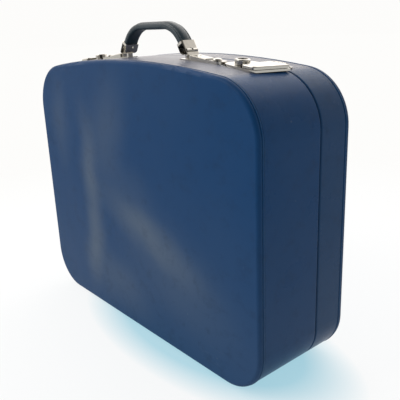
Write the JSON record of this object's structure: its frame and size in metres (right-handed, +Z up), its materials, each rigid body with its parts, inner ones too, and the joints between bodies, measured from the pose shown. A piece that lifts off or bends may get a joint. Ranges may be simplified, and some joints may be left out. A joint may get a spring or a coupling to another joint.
{
  "type": "suitcase",
  "caption": "Hard-sided suitcase with an arched top, hinged lid, swinging carry handle, and sprung push-knob locks with folding hasps.",
  "frame": {"origin": "centre of the case's footprint, on the surface that it stands on", "axes": "+X along the width, +Y from the deep front half to the lid, +Z up towards the handle"},
  "size_m": [0.461, 0.144, 0.4067],
  "materials": {
    "blue_vinyl": "satin embossed vinyl over fibreboard, navy blue",
    "welt_vinyl": "satin vinyl piping, navy blue",
    "handle_vinyl": "padded vinyl, dark teal blue",
    "chrome_plate": "bright chrome plate on stamped steel",
    "plain_steel": "plain zinc-grey steel",
    "rim_plastic": "dark matt moulding",
    "lining_fabric": "woven grey-blue lining cloth",
    "pocket_fabric": "gathered satin-weave cloth",
    "elastic_band": "ribbed elastic",
    "strap_webbing": "woven ribbon webbing",
    "foot_plastic": "black moulded glide"
  },
  "bodies": {
    "case": {"front_panel": "blue_vinyl", "front_welt": "welt_vinyl", "front_band": "blue_vinyl", "rim_tongue": "rim_plastic", "front_lining": "lining_fabric", "lower_straps": "strap_webbing", "upper_straps": "strap_webbing", "strap_buckles": "chrome_plate", "strap_rivets": "chrome_plate", "handle_bracket_left": "chrome_plate", "handle_bracket_right": "chrome_plate", "handle_pin_left": "chrome_plate", "handle_pin_right": "chrome_plate", "handle_backing_left": "plain_steel", "handle_backing_right": "plain_steel", "bracket_rivets": "chrome_plate", "lock_plate_left": "chrome_plate", "lock_plate_right": "chrome_plate", "lock_box_left": "plain_steel", "lock_box_right": "plain_steel", "lock_spring_left": "plain_steel", "lock_spring_right": "plain_steel", "lock_rivets": "chrome_plate", "front_hinge_leaf_left": "chrome_plate", "front_hinge_leaf_right": "chrome_plate", "hinge_pin_left": "plain_steel", "hinge_pin_right": "plain_steel", "front_hinge_rivets": "chrome_plate", "front_feet": "foot_plastic"},
    "handle": {"handle_core": "plain_steel", "handle_grip": "handle_vinyl", "handle_end_left": "chrome_plate", "handle_end_right": "chrome_plate"},
    "left_knob": {"lock_knob_left": "chrome_plate", "lock_slide_left": "plain_steel"},
    "right_knob": {"lock_knob_right": "chrome_plate", "lock_slide_right": "plain_steel"},
    "lid": {"lid_panel": "blue_vinyl", "lid_welt": "welt_vinyl", "lid_band": "blue_vinyl", "lid_lining": "lining_fabric", "lid_pocket": "pocket_fabric", "pocket_elastic": "elastic_band", "hasp_plate_left": "chrome_plate", "hasp_plate_right": "chrome_plate", "hasp_pin_left": "chrome_plate", "hasp_pin_right": "chrome_plate", "hasp_rivets": "chrome_plate", "lid_hinge_leaf_left": "chrome_plate", "lid_hinge_leaf_right": "chrome_plate", "lid_hinge_rivets": "chrome_plate", "lid_feet": "foot_plastic"},
    "left_hasp": {"hasp_left": "chrome_plate"},
    "right_hasp": {"hasp_right": "chrome_plate"}
  },
  "joints": [
    {"name": "lid_hinge", "type": "hinge", "parent": "case", "child": "lid", "pos_m": [0, 0.022, 0.0019], "axis": [-1, 0, 0], "range_deg": [0, 100]},
    {"name": "handle_swing", "type": "hinge", "parent": "case", "child": "handle", "pos_m": [0, -0.015, 0.37528], "axis": [1, 0, 0], "range_deg": [-80, 80]},
    {"name": "left_knob_slide", "type": "slide", "parent": "case", "child": "left_knob", "axis": [0.9935, 0, 0.1141], "range_m": [0, 0.006], "stiffness_N_per_m": 250, "springref_m": -0.002},
    {"name": "right_knob_slide", "type": "slide", "parent": "case", "child": "right_knob", "axis": [-0.9935, 0, 0.1141], "range_m": [0, 0.006], "stiffness_N_per_m": 250, "springref_m": -0.002},
    {"name": "left_hasp_hinge", "type": "hinge", "parent": "lid", "child": "left_hasp", "pos_m": [-0.1723, 0.0254, 0.3568], "axis": [-0.9935, 0, -0.1141], "range_deg": [0, 105]},
    {"name": "right_hasp_hinge", "type": "hinge", "parent": "lid", "child": "right_hasp", "pos_m": [0.1723, 0.0254, 0.3568], "axis": [-0.9935, 0, 0.1141], "range_deg": [0, 105]}
  ]
}
